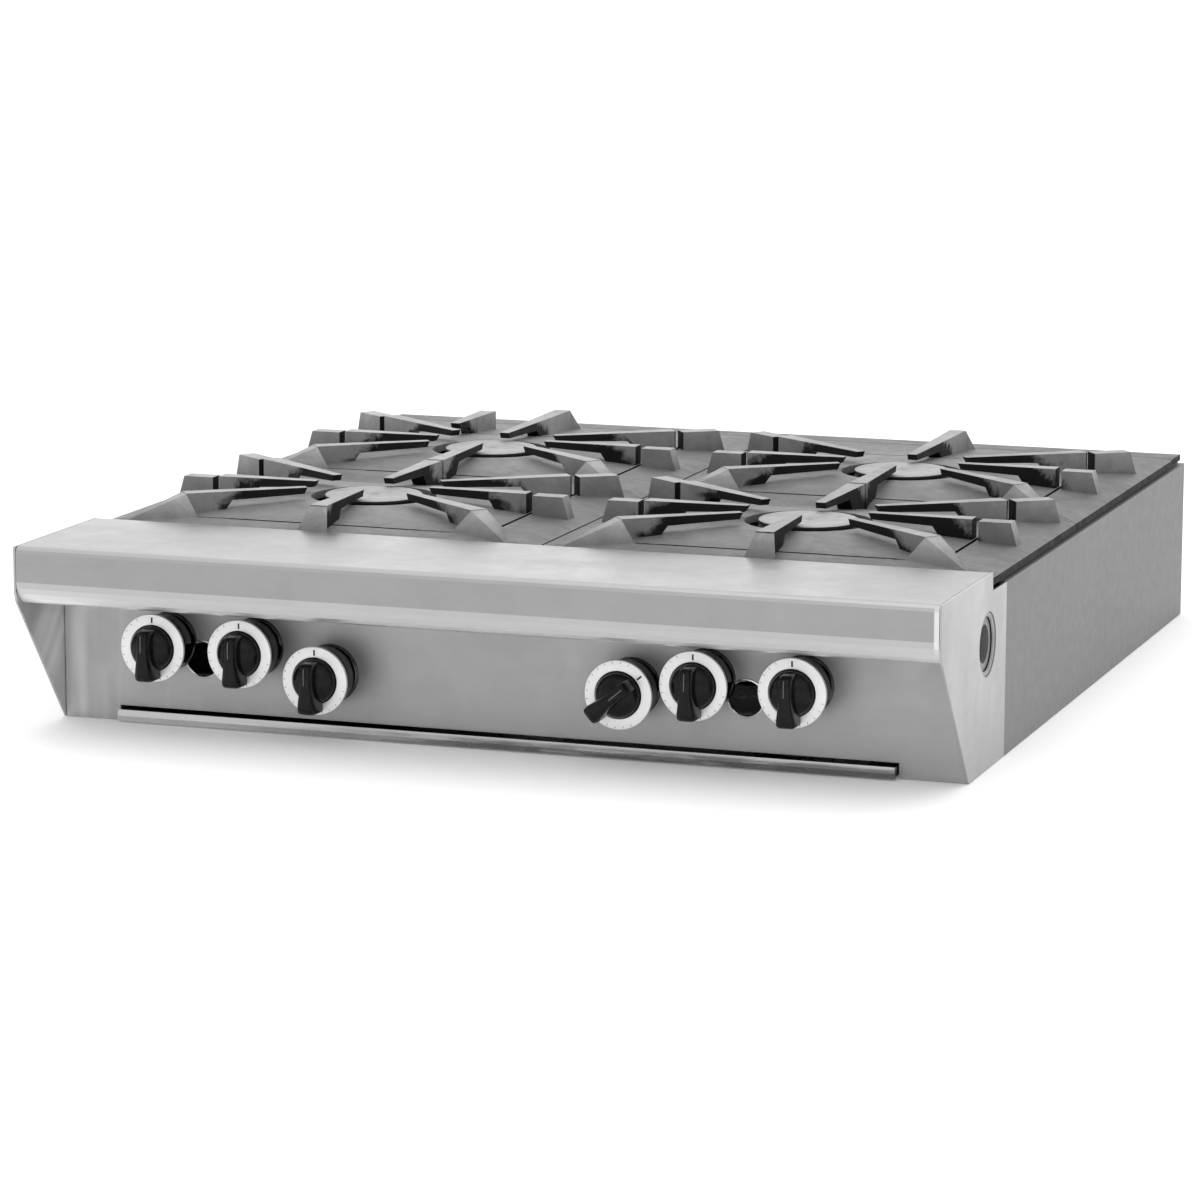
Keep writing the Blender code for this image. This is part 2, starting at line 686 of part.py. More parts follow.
def build_knob(number):
    """Black grip with a pointer bar, domed face and a deep skirt behind the dial."""
    bm = bmesh.new()
    profile = [(0.0, -0.0120), (0.0120, -0.0110), (0.0190, -0.0060), (0.0210, 0.0), (0.0210, 0.0034)]
    profile += [(0.0265, 0.0034), (0.0275, 0.0060), (0.0275, 0.0270), (0.0, 0.0270)]
    add_lathe(bm, profile, axis_y(0.0, 0.0), 24)
    obj = make_object("knob_%d" % number, bm, BLACK)
    bm = bmesh.new()
    grip = [(-0.0055, 0.0175), (0.0055, 0.0175), (0.0070, -0.0200)]
    grip += [(0.0060, -0.0275), (-0.0060, -0.0275), (-0.0070, -0.0200)]
    low = [bm.verts.new((px, -0.0012, pz)) for px, pz in grip]
    high = [bm.verts.new((px * 0.72, -0.0260 if pz > -0.0250 else -0.0200, pz * 0.93)) for px, pz in grip]
    bm.faces.new(low)
    bm.faces.new(high[::-1])
    for i in range(6):
        j = (i + 1) % 6
        bm.faces.new((low[i], high[i], high[j], low[j]))
    combine(obj, helper_object("grip", bm), "UNION")
    bm = bmesh.new()
    rod_y(bm, 0.0, 0.0, 0.0050, 0.0040, 0.0400, 12)
    combine(obj, helper_object("socket", bm), "DIFFERENCE")
    smooth_edges(obj)
    set_knob_frame(obj, number)
    return obj


def build_dial(number):
    """Flat bright ring that turns with the knob."""
    bm = bmesh.new()
    profile = [(0.0214, 0.0), (0.0300, 0.0), (0.0312, 0.0010), (0.0312, 0.0030), (0.0214, 0.0030)]
    add_lathe(bm, profile, axis_y(0.0, 0.0), 36, closed=True)
    obj = make_object("dial_%d" % number, bm, DIAL, smooth=True)
    set_knob_frame(obj, number)
    return obj


def build_stem(number):
    """Valve stem running from inside the knob, through the panel, into the valve."""
    bm = bmesh.new()
    rod_y(bm, 0.0, 0.0, 0.0046, 0.0080, 0.0700, 12)
    obj = make_object("stem_%d" % number, bm, BRASS, smooth=True)
    set_knob_frame(obj, number)
    return obj


build_front_rail()
build_end_cap("end_cap_left", -1, False)
build_end_cap("end_cap_right", 1, True)
build_control_panel()
build_side_panel("side_panel_left", -1)
build_side_panel("side_panel_right", 1)
build_back_panel()
build_tray_rail("tray_rail_left", -1)
build_tray_rail("tray_rail_right", 1)
build_cross_channel("cross_channel_front", FRONT + 0.1200, 1)
build_cross_channel("cross_channel_rear", BACK - 0.0260, -1)
build_baffle()
build_drip_tray()
build_top_frame()
build_rear_plate()
build_grate("grate_front_left", -1, 0)
build_grate("grate_front_right", 1, 0)
build_grate("grate_rear_left", -1, 1)
build_grate("grate_rear_right", 1, 1)
build_burner("burner_front_left", 2, -1, 0)
build_burner("burner_front_right", 5, 1, 0)
build_burner("burner_rear_left", 1, -1, 1)
build_burner("burner_rear_right", 6, 1, 1)
build_air_shutter("air_shutter_front_left", 2)
build_air_shutter("air_shutter_front_right", 5)
build_air_shutter("air_shutter_rear_left", 1)
build_air_shutter("air_shutter_rear_right", 6)
build_manifold()
build_coupling()
for knob_number in KNOBS:
    build_valve(knob_number)
    build_knob(knob_number)
    build_dial(knob_number)
    build_stem(knob_number)
build_pilot("pilot_left", 3, -1)
build_pilot("pilot_right", 4, 1)
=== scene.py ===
"""Looks of the counter-top gas range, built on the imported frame."""
import math

import bmesh
import bpy
from mathutils import Matrix, Vector


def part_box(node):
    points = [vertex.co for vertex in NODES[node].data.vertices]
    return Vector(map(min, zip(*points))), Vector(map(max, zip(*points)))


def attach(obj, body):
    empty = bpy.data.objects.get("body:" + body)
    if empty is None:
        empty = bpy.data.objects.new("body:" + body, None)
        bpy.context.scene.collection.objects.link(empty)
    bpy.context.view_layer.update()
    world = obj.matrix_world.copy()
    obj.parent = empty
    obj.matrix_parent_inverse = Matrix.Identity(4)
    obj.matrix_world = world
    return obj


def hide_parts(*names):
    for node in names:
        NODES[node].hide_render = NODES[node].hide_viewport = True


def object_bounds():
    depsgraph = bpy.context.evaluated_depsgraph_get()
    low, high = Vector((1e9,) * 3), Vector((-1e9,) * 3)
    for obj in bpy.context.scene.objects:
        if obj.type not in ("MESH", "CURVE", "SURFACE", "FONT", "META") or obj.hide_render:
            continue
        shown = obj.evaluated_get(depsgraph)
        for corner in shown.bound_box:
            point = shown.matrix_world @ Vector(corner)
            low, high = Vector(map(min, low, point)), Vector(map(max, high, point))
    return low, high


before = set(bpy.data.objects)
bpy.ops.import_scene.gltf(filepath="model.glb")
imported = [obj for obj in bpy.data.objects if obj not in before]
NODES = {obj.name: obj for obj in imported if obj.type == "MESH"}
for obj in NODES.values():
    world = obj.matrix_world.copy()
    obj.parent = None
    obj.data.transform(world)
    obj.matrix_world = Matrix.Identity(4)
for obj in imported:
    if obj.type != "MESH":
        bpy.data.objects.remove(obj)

CAD_BOX = [list(corner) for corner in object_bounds()]
BODY = "range_body"

# ---------------------------------------------------------------- sizes shared with the CAD
LOW, HIGH = (Vector(corner) for corner in CAD_BOX)
FRONT = LOW.y
HALF_W = HIGH.x
PANEL_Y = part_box("control_panel")[0].y
DIAL_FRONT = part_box("dial_1")[0].y
TRAY_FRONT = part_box("drip_tray")[0].y
FIN_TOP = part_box("grate_front_left")[1].z
LIGHTING_HOLES = ((-0.2906, 0.0622), (0.2290, 0.0617))
LIGHTING_R = 0.0160
PANEL_GAP = 0.0001
GRIP_FOOT = -0.0010
PORT_COUNT = 44
PORT_Z = 0.1735
PORT_R = 0.0013
SOOT_AND_SHADE_EDGE = (0.118, 0.134)
OPENING_EDGE = (0.0605, 0.0612)
KNOB_TURN = {4: 50.0}
COLUMN_X = 0.2155
ROW_Y = (FRONT + 0.3330, FRONT + 0.6535)
RIM_TOP = 0.1680
SHOULDER_TOP = 0.1725
CROWN_TOP = 0.1830
CAP_TOP = 0.1856


def middle(node):
    """Centre of a CAD node's box."""
    low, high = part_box(node)
    return (Vector(low) + Vector(high)) / 2


# ---------------------------------------------------------------- node helpers
class Graph:
    """Small builder for a material's nodes."""

    def __init__(self, name):
        self.mat = bpy.data.materials.new(name)
        self.mat.use_nodes = True
        self.tree = self.mat.node_tree
        self.nodes = self.tree.nodes
        self.shader = self.nodes["Principled BSDF"]

    def add(self, kind, **settings):
        node = self.nodes.new(kind)
        for key, value in settings.items():
            setattr(node, key, value)
        return node

    def link(self, a, b):
        self.tree.links.new(a, b)

    def coords(self, scale=(1, 1, 1)):
        source = self.add("ShaderNodeTexCoord").outputs["Object"]
        mapping = self.add("ShaderNodeMapping")
        mapping.inputs["Scale"].default_value = scale
        self.link(source, mapping.inputs["Vector"])
        return mapping.outputs["Vector"]

    def split(self, vector):
        """The three numbers of a vector, as outputs X, Y and Z."""
        parts = self.add("ShaderNodeSeparateXYZ")
        self.link(vector, parts.inputs["Vector"])
        return parts

    def normal(self):
        """The surface's normal."""
        return self.add("ShaderNodeNewGeometry").outputs["Normal"]

    def noise(self, scale=(1, 1, 1), size=10.0, detail=3.0, rough=0.5, distortion=0.0):
        node = self.add("ShaderNodeTexNoise")
        node.inputs["Scale"].default_value = size
        node.inputs["Detail"].default_value = detail
        node.inputs["Roughness"].default_value = rough
        node.inputs["Distortion"].default_value = distortion
        self.link(self.coords(scale), node.inputs["Vector"])
        return node.outputs["Fac"]

    def ramp(self, fac, stops):
        node = self.add("ShaderNodeValToRGB")
        items = node.color_ramp.elements
        while len(items) < len(stops):
            items.new(0.5)
        for item, (place, value) in zip(items, stops):
            item.position = place
            item.color = (*value, 1.0) if isinstance(value, tuple) else (value, value, value, 1.0)
        self.link(fac, node.inputs["Fac"])
        return node.outputs["Color"]

    def span(self, fac, low, high, from_low=0.0, from_high=1.0):
        node = self.add("ShaderNodeMapRange")
        node.inputs["From Min"].default_value = from_low
        node.inputs["From Max"].default_value = from_high
        node.inputs["To Min"].default_value = low
        node.inputs["To Max"].default_value = high
        self.link(fac, node.inputs["Value"])
        return node.outputs["Result"]

    def math(self, operation, a, b=None, clamp=False):
        node = self.add("ShaderNodeMath", operation=operation, use_clamp=clamp)
        for socket, value in zip(node.inputs, (a, b)):
            if value is None:
                continue
            if isinstance(value, (int, float)):
                socket.default_value = value
            else:
                self.link(value, socket)
        return node.outputs["Value"]

    def band(self, value, start, end, soft=0.0006):
        """One between start and end, zero outside, with soft borders."""
        up = self.span(value, 0.0, 1.0, start, start + soft)
        return self.math("MULTIPLY", up, self.span(value, 1.0, 0.0, end - soft, end))

    def mix(self, fac, a, b, blend="MIX"):
        node = self.add("ShaderNodeMix", data_type="RGBA", blend_type=blend)
        for socket, value in ((node.inputs[0], fac), (node.inputs[6], a), (node.inputs[7], b)):
            if isinstance(value, (int, float)):
                socket.default_value = value if socket.type == "VALUE" else (value, value, value, 1.0)
            elif isinstance(value, tuple):
                socket.default_value = (*value, 1.0)
            else:
                self.link(value, socket)
        return node.outputs[2]

    def bump(self, height, strength, distance, normal=None):
        node = self.add("ShaderNodeBump")
        node.inputs["Strength"].default_value = strength
        node.inputs["Distance"].default_value = distance
        self.link(height, node.inputs["Height"])
        if normal is not None:
            self.link(normal, node.inputs["Normal"])
        return node.outputs["Normal"]

    def set(self, **values):
        for key, value in values.items():
            socket = self.shader.inputs[key.replace("_", " ")]
            if isinstance(value, bpy.types.NodeSocket):
                self.link(value, socket)
            elif isinstance(value, tuple):
                socket.default_value = (*value, 1.0)
            else:
                socket.default_value = value
        return self.mat


def across(axis, fine, coarse):
    """Scale triple that stretches a noise along one axis."""
    return tuple(coarse if name == axis else fine for name in "xyz")


def brushed_steel(name, tone, axis="x", rough=0.30, grain=1.0, metallic=1.0, extra=None):
    """Sheet steel with a fine grain along one axis, faint clouds and handling marks."""
    g = Graph(name)
    fine = g.noise(across(axis, 1.0, 0.012), 900.0, 2.0, 0.6)
    medium = g.noise(across(axis, 1.0, 0.03), 160.0, 3.0, 0.6)
    clouds = g.noise((1, 1, 1), 3.2, 3.0, 0.55)
    marks = g.noise((1, 1, 1), 24.0, 4.0, 0.7, 0.4)
    shade = g.math("ADD", g.span(fine, -0.5, 0.5), g.span(medium, -0.5, 0.5))
    shade = g.math("ADD", g.math("MULTIPLY", shade, 0.10 * grain), g.span(clouds, -0.035, 0.035, 0.3, 0.7))
    low = tuple(max(c - 0.07, 0.0) for c in tone)
    high = tuple(min(c + 0.07, 1.0) for c in tone)
    fac = g.math("ADD", shade, 0.5, clamp=True)
    colour = g.ramp(fac, [(0.0, low), (0.5, tone), (1.0, high)])
    if extra:
        colour = extra(g, colour)
    worn = g.span(marks, rough - 0.045, rough + 0.06, 0.35, 0.65)
    roughness = g.math("ADD", worn, g.span(fine, -0.04, 0.04))
    height = g.math("ADD", g.math("MULTIPLY", fine, 0.7), g.math("MULTIPLY", medium, 0.3))
    normal = g.bump(height, 0.10 * grain, 0.0004)
    waves = g.noise((1, 1, 1), 2.4, 1.0, 0.4)
    normal = g.bump(waves, 0.10, 0.006, normal)
    return g.set(Base_Color=colour, Metallic=metallic, Roughness=roughness, Normal=normal, Anisotropic=0.35)


def coated_sheet(name, tone, rough=0.5, metallic=0.6):
    """Plain coated steel: soft clouds, faint spangle, light scuffs."""
    g = Graph(name)
    clouds = g.noise((1, 1, 1), 5.0, 4.0, 0.6)
    spangle = g.add("ShaderNodeTexVoronoi")
    spangle.inputs["Scale"].default_value = 210.0
    g.link(g.coords(), spangle.inputs["Vector"])
    scuffs = g.noise((0.3, 1, 1), 70.0, 4.0, 0.7)
    flecks = g.math("MULTIPLY", spangle.outputs["Distance"], 0.35)
    fac = g.math("ADD", g.math("MULTIPLY", clouds, 0.7), flecks)
    colour = g.ramp(fac, [(0.2, tuple(c * 0.93 for c in tone)), (0.8, tuple(c * 1.06 for c in tone))])
    roughness = g.span(scuffs, rough - 0.06, rough + 0.08, 0.3, 0.7)
    normal = g.bump(scuffs, 0.06, 0.0006)
    return g.set(Base_Color=colour, Metallic=metallic, Roughness=roughness, Normal=normal)


def cast_iron(name, plate=0.156, crown=0.250, rubbed=0.345, dark=0.010, sooted_and_shaded=True, rough=0.55,
              metallic=0.35, shade_below_z=None):
    """Sand-cast iron: grainy skin, rubbed high spots, dull flats, smoke stain round each flame and a tone
    that darkens from left to right; side faces painted a darker mid tone as shade, painted shade under the
    rim and in the gaps, and side faces near each flame blackened, partly by sooting and partly as painted
    shade.
    """
    g = Graph(name)
    grain = g.noise((1, 1, 1), 430.0, 4.0, 0.75)
    lumps = g.noise((1, 1, 1), 75.0, 3.0, 0.6)
    clouds = g.noise((1, 1, 1), 15.0, 4.0, 0.65)
    streaks = g.noise((1, 1, 1), 42.0, 4.0, 0.7, 0.6)
    place = g.split(g.coords())
    split = g.split(g.normal())
    climb = g.span(place.outputs["Z"], 0.0, 1.0, SHOULDER_TOP, CROWN_TOP)
    colour = g.ramp(climb, [(0.0, plate), (0.35, plate * 1.12), (1.0, crown)])
    high = g.span(place.outputs["Z"], 0.0, 1.0, CROWN_TOP + 0.0015, FIN_TOP - 0.004)
    colour = g.mix(high, colour, rubbed)
    flank = g.span(split.outputs["Z"], 1.0, 0.0, 0.15, 0.55)
    # Painted shade: side faces above the shoulder take a set mid tone, darker than the rubbed tops and
    # lighter than the flats.
    side_shade = g.math("MULTIPLY", flank, g.span(place.outputs["Z"], 0.0, 1.0, RIM_TOP, SHOULDER_TOP + 0.002))
    colour = g.mix(g.math("MULTIPLY", side_shade, 0.75), colour, rubbed * 0.62)
    # Painted shade: side faces just under the rim are painted black.
    under_rim = g.span(place.outputs["Z"], 1.0, 0.0, RIM_TOP - 0.0005, RIM_TOP + 0.001)
    edge_shade = g.math("MULTIPLY", flank, under_rim)
    colour = g.mix(edge_shade, colour, dark)
    black = edge_shade
    if sooted_and_shaded:
        # Side faces near each flame are blackened, partly by sooting and partly as painted shade between the
        # fins.
        across_x = g.math("SUBTRACT", g.math("ABSOLUTE", place.outputs["X"]), COLUMN_X)
        across_y = g.math("SUBTRACT", place.outputs["Y"], (ROW_Y[0] + ROW_Y[1]) / 2)
        across_y = g.math("SUBTRACT", g.math("ABSOLUTE", across_y), (ROW_Y[1] - ROW_Y[0]) / 2)
        flat = g.add("ShaderNodeCombineXYZ")
        g.link(across_x, flat.inputs["X"])
        g.link(across_y, flat.inputs["Y"])
        length = g.add("ShaderNodeVectorMath", operation="LENGTH")
        g.link(flat.outputs["Vector"], length.inputs[0])
        lean = g.math("MULTIPLY", g.math("SUBTRACT", FIN_TOP, place.outputs["Z"]), 1.5)
        reach = g.math("SUBTRACT", length.outputs["Value"], lean)
        reach = g.math("ADD", reach, g.span(streaks, -0.014, 0.014, 0.3, 0.7))
        reach = g.math("SUBTRACT", reach, g.span(place.outputs["X"], 0.0, 0.014, -0.01, 0.01))
        near = g.span(reach, 1.0, 0.0, *SOOT_AND_SHADE_EDGE)
        wall = g.math("MULTIPLY", g.span(place.outputs["Z"], 1.0, 0.0, CROWN_TOP, CROWN_TOP + 0.0005),
                      g.span(length.outputs["Value"], 1.0, 0.0, *OPENING_EDGE))
        near = g.math("MULTIPLY", near, g.math("SUBTRACT", 1.0, wall))
        # Painted shade: black lines on side faces in the gaps beside the fin ends and at the corners.
        facing_side = g.span(g.math("ABSOLUTE", split.outputs["X"]), 0.0, 1.0, 0.5, 0.8)
        side_gap = g.math("MULTIPLY", g.band(g.math("ABSOLUTE", across_x), 0.1550, 0.1650), facing_side)
        side_gap = g.math("MAXIMUM", side_gap, g.band(g.math("ABSOLUTE", across_x), 0.1574, 0.1626))
        side_gap = g.math("MULTIPLY", side_gap, g.span(g.math("ABSOLUTE", across_y), 1.0, 0.0, 0.080, 0.085))
        corner_gap = g.band(length.outputs["Value"], 0.1928, 0.2030)
        for across_axis in (across_y, across_x):
            away = g.span(g.math("ABSOLUTE", across_axis), 0.0, 1.0, 0.090, 0.100)
            corner_gap = g.math("MULTIPLY", corner_gap, away)
        gaps = g.math("MAXIMUM", side_gap, corner_gap)
        above = g.span(place.outputs["Z"], 0.0, 1.0, SHOULDER_TOP, SHOULDER_TOP + 0.001)
        gaps = g.math("MULTIPLY", gaps, above)
        soot_and_painted_shade = g.math("MULTIPLY", g.math("MULTIPLY", g.math("MAXIMUM", near, gaps), flank), 0.97)
        colour = g.mix(soot_and_painted_shade, colour, 0.005)
        black = g.math("MAXIMUM", black, soot_and_painted_shade)
        smoke = g.span(length.outputs["Value"], 0.55, 0.0, 0.066, 0.120)
        smoke = g.math("MULTIPLY", smoke, g.span(clouds, 0.2, 1.0, 0.42, 0.68))
        colour = g.mix(g.math("MULTIPLY", smoke, g.span(high, 1.0, 0.35)), colour, 0.045)
    # Painted shade: everything below the given height is painted black.
    if shade_below_z:
        colour = g.mix(g.span(place.outputs["Z"], 1.0, 0.0, shade_below_z - 0.0006, shade_below_z), colour, 0.012)
    mottle = g.math("ADD", g.span(clouds, 0.82, 1.16, 0.3, 0.7), g.span(grain, -0.10, 0.10, 0.3, 0.7))
    mottle = g.math("MULTIPLY", mottle, g.span(streaks, 0.86, 1.08, 0.3, 0.6))
    # The tone also darkens steadily from left to right across the range.
    mottle = g.math("MULTIPLY", mottle, g.span(place.outputs["X"], 1.03, 0.86, -0.25, 0.25))
    tint = g.add("ShaderNodeCombineColor")
    for socket in ("Red", "Green", "Blue"):
        g.link(mottle, tint.inputs[socket])
    colour = g.mix(1.0, colour, tint.outputs["Color"], "MULTIPLY")
    roughness = g.span(g.math("ADD", lumps, grain), rough - 0.10, rough + 0.14, 0.7, 1.3)
    normal = g.bump(grain, 0.40, 0.0006)
    normal = g.bump(lumps, 0.25, 0.0016, normal)
    # Gloss and metal fall away where shade or sooting is painted black.
    return g.set(Base_Color=colour, Metallic=g.span(black, metallic, 0.0), Roughness=roughness, Normal=normal,
                 Specular_IOR_Level=g.span(black, 0.45, 0.06))


def phenolic(name):
    """Black moulded plastic with a soft shine and rubbed patches."""
    g = Graph(name)
    rub = g.noise((1, 1, 1), 60.0, 4.0, 0.6)
    fine = g.noise((1, 1, 1), 900.0, 2.0, 0.5)
    colour = g.ramp(rub, [(0.3, 0.003), (0.7, 0.008)])
    roughness = g.math("ADD", g.span(rub, 0.16, 0.28, 0.3, 0.7), g.span(fine, -0.02, 0.02))
    normal = g.bump(fine, 0.05, 0.0002)
    return g.set(Base_Color=colour, Metallic=0.0, Roughness=roughness, Normal=normal, Specular_IOR_Level=0.17)


def satin_ring(name, tone=0.86):
    """Turned bright metal: rings of fine tool marks round the local Y axis."""
    g = Graph(name)
    place = g.split(g.coords())
    flat = g.add("ShaderNodeCombineXYZ")
    g.link(place.outputs["X"], flat.inputs["X"])
    g.link(place.outputs["Z"], flat.inputs["Y"])
    length = g.add("ShaderNodeVectorMath", operation="LENGTH")
    g.link(flat.outputs["Vector"], length.inputs[0])
    rings = g.add("ShaderNodeTexNoise", noise_dimensions="1D")
    rings.inputs["Scale"].default_value = 2600.0
    g.link(length.outputs["Value"], rings.inputs["W"])
    smudge = g.noise((1, 1, 1), 45.0, 4.0, 0.6)
    colour = g.ramp(smudge, [(0.3, tone * 0.90), (0.7, tone)])
    roughness = g.math("ADD", g.span(smudge, 0.34, 0.46, 0.3, 0.7), g.span(rings.outputs["Fac"], -0.04, 0.04))
    normal = g.bump(rings.outputs["Fac"], 0.08, 0.0002)
    return g.set(Base_Color=colour, Metallic=0.55, Roughness=roughness, Normal=normal)


def machined(name, tone, rough=0.35, metallic=1.0, pitted=0.2):
    """Turned or drawn metal with fine pitting and tarnish."""
    g = Graph(name)
    fine = g.noise((1, 1, 1), 380.0, 3.0, 0.6)
    tarnish = g.noise((1, 1, 1), 30.0, 4.0, 0.6)
    colour = g.ramp(tarnish, [(0.3, tuple(c * 0.7 for c in tone)), (0.7, tone)])
    roughness = g.span(tarnish, rough + 0.10, rough - 0.05, 0.3, 0.7)
    normal = g.bump(fine, pitted, 0.0003)
    return g.set(Base_Color=colour, Metallic=metallic, Roughness=roughness, Normal=normal)


def rail_painted_light(g, colour):
    """Painted light on the nose: top faces painted lighter, fading towards the right; a painted highlight on
    the rounded edge; the rolled under-edge painted pale as a reflection of the floor; and a painted highlight
    standing for the folded hem at the right end.
    """
    split = g.split(g.normal())
    place = g.split(g.coords())
    # Painted light: top faces take a lighter tone that fades from left to right.
    deck = g.ramp(g.span(place.outputs["X"], 0.0, 1.0, 0.0, HALF_W), [(0.0, 0.365), (1.0, 0.325)])
    colour = g.mix(g.span(split.outputs["Z"], 0.0, 1.0, 0.45, 0.85), colour, deck)
    # Painted highlight on the sloping faces of the rounded edge.
    edge = g.band(split.outputs["Z"], 0.06, 0.90, 0.12)
    colour = g.mix(g.math("MULTIPLY", edge, 0.75), colour, 0.52)
    # Painted reflection: faces turned down on the roll are painted pale, as if lit from the floor.
    droop = g.math("MULTIPLY", split.outputs["Z"], -1.0)
    roll = g.ramp(droop, [(0.04, 0.34), (0.20, 0.50), (0.50, 0.54), (0.85, 0.97)])
    colour = g.mix(g.span(droop, 0.0, 1.0, 0.02, 0.10), colour, roll)
    # Painted highlight: a bright strip on the front face at the right end stands for the folded hem.
    face = g.span(split.outputs["Y"], 1.0, 0.0, -0.98, -0.85)
    hem = g.math("MULTIPLY", face, g.span(place.outputs["X"], 0.0, 1.0, HALF_W - 0.0072, HALF_W - 0.0064))
    return g.mix(hem, colour, 0.66)


def panel_painted_reflection(g, colour):
    """Painted reflection near the left end of the control panel: the left end painted lighter, with pale
    slanting streaks.
    """
    reflection_noise = g.add("ShaderNodeTexNoise")
    reflection_noise.inputs["Scale"].default_value = 9.0
    reflection_noise.inputs["Detail"].default_value = 2.0
    mapping = g.add("ShaderNodeMapping")
    mapping.inputs["Rotation"].default_value = (0.0, math.radians(24.0), 0.0)
    mapping.inputs["Scale"].default_value = (2.6, 1.0, 0.30)
    g.link(g.add("ShaderNodeTexCoord").outputs["Object"], mapping.inputs["Vector"])
    g.link(mapping.outputs["Vector"], reflection_noise.inputs["Vector"])
    place = g.split(g.coords())
    # Painted reflection of the left end cap: the panel's left end is lightened, with pale slanting streaks
    # over it.
    left = g.span(place.outputs["X"], 1.0, 0.0, -HALF_W + 0.02, -HALF_W + 0.16)
    streak = g.math("MULTIPLY", g.span(reflection_noise.outputs["Fac"], 0.0, 1.0, 0.50, 0.62), left)
    colour = g.mix(g.math("MULTIPLY", left, 0.10), colour, 0.62)
    return g.mix(g.math("MULTIPLY", streak, 0.45), colour, 0.80)


def lip_painted_reflection_and_pan_stain(g, colour):
    """Dark streaky painted reflection on the tray lip, heavier towards the right and lower down, fading out
    at its left end, and a stained pan.
    """
    place = g.split(g.coords())
    # Painted reflection: dark streaks along the lip, stronger towards the right and lower down.
    streak_pattern = g.noise((0.10, 1.0, 1.0), 95.0, 4.0, 0.7)
    right = g.span(place.outputs["X"], 0.0, 0.80, -0.28, -0.02)
    dark_reflection = g.math("MULTIPLY", g.span(streak_pattern, 0.45, 1.0, 0.34, 0.54), right)
    top = g.span(place.outputs["Z"], 1.0, 0.25, 0.0085, 0.0108)
    colour = g.mix(g.math("MULTIPLY", dark_reflection, top), colour, 0.055)
    stain = g.noise((1.0, 1.0, 1.0), 9.0, 4.0, 0.6)
    pan = g.ramp(stain, [(0.35, 0.15), (0.65, 0.27)])
    return g.mix(g.span(place.outputs["Y"], 0.0, 1.0, TRAY_FRONT + 0.008, TRAY_FRONT + 0.012), colour, pan)


def cap_smudges_and_painted_reflection(g, colour):
    """Handling smudges, and slanting streaks of painted reflection on the left cap's inner face, fading
    towards its top as painted shade under the nose.
    """
    split = g.split(g.normal())
    place = g.split(g.coords())
    # Painted reflection: pale slanting streaks on the left cap's inner face, weaker near the top where
    # painted shade of the nose falls.
    inner = g.math("MULTIPLY", g.span(split.outputs["X"], 0.0, 1.0, 0.5, 0.9),
                   g.span(place.outputs["X"], 1.0, 0.0, -0.10, 0.0))
    inner = g.math("MULTIPLY", inner, g.span(place.outputs["Z"], 1.0, 0.45, 0.098, 0.120))
    slant = g.math("ADD", place.outputs["Z"], g.math("MULTIPLY", place.outputs["Y"], -1.1))
    streak = g.add("ShaderNodeTexNoise", noise_dimensions="1D")
    streak.inputs["Scale"].default_value = 12.0
    g.link(slant, streak.inputs["W"])
    streak = g.span(streak.outputs["Fac"], 0.55, 1.0, 0.42, 0.60)
    colour = g.mix(g.math("MULTIPLY", inner, streak), colour, 0.98)
    smudge = g.noise((1.0, 1.0, 0.5), 11.0, 3.0, 0.6)
    return g.mix(g.span(smudge, 0.0, 0.25, 0.45, 0.7), colour, 0.72)


STEEL_X = brushed_steel("steel_grain_x", (0.32, 0.32, 0.32), "x", 0.34, extra=rail_painted_light)
STEEL_PANEL = brushed_steel("steel_panel", (0.38, 0.38, 0.38), "x", 0.46, metallic=0.80, extra=panel_painted_reflection)
STEEL_CAP = brushed_steel("steel_cap", (0.395, 0.395, 0.395), "y", 0.38, extra=cap_smudges_and_painted_reflection)
STEEL_LIP = brushed_steel("steel_lip", (0.62, 0.62, 0.62), "x", 0.28, 1.3, extra=lip_painted_reflection_and_pan_stain)
# Pale steel painted as the highlight on the lighting holes' turned rims.
RIM_HIGHLIGHT_STEEL = brushed_steel("rim_highlight_steel", (0.80, 0.80, 0.80), "z", 0.16, 0.6)
SIDE_SHEET = coated_sheet("side_sheet", (0.174, 0.174, 0.174), 0.55, 0.25)
INNER_SHEET = coated_sheet("inner_sheet", (0.34, 0.34, 0.34), 0.5, 0.6)
# Dark sheet painted as shade for the top frame.
FRAME_SHADE_SHEET = coated_sheet("frame_shade_sheet", (0.10, 0.10, 0.10), 0.6, 0.4)
WELL_SHADE_SHEET = coated_sheet("well_shade_sheet", (0.012, 0.012, 0.012), 0.8, 0.0)
IRON_GRATE = cast_iron("iron_grate")
IRON_PLATE = cast_iron("iron_plate", sooted_and_shaded=False)
# Painted shade: the burner head's side and the cap's rim are painted black below a set height.
IRON_BURNER = cast_iron("iron_burner", 0.16, 0.36, 0.40, sooted_and_shaded=False, shade_below_z=CROWN_TOP - 0.0011)
IRON_CAP = cast_iron("iron_cap", 0.16, 0.36, 0.36, sooted_and_shaded=False, shade_below_z=CAP_TOP - 0.0010)
BLACK_PLASTIC = phenolic("black_phenolic")
DIAL_METAL = satin_ring("dial_metal")
BRASS = machined("brass_body", (0.58, 0.44, 0.20))
PIPE = machined("pipe_black", (0.018, 0.018, 0.018), 0.62, 0.2)
ZINC = machined("zinc_socket", (0.30, 0.30, 0.30), 0.5, 0.6)
GROMMET = machined("grommet_grey", (0.34, 0.34, 0.34), 0.5, 0.3)
TUBING = machined("tubing", (0.58, 0.56, 0.53), 0.35)


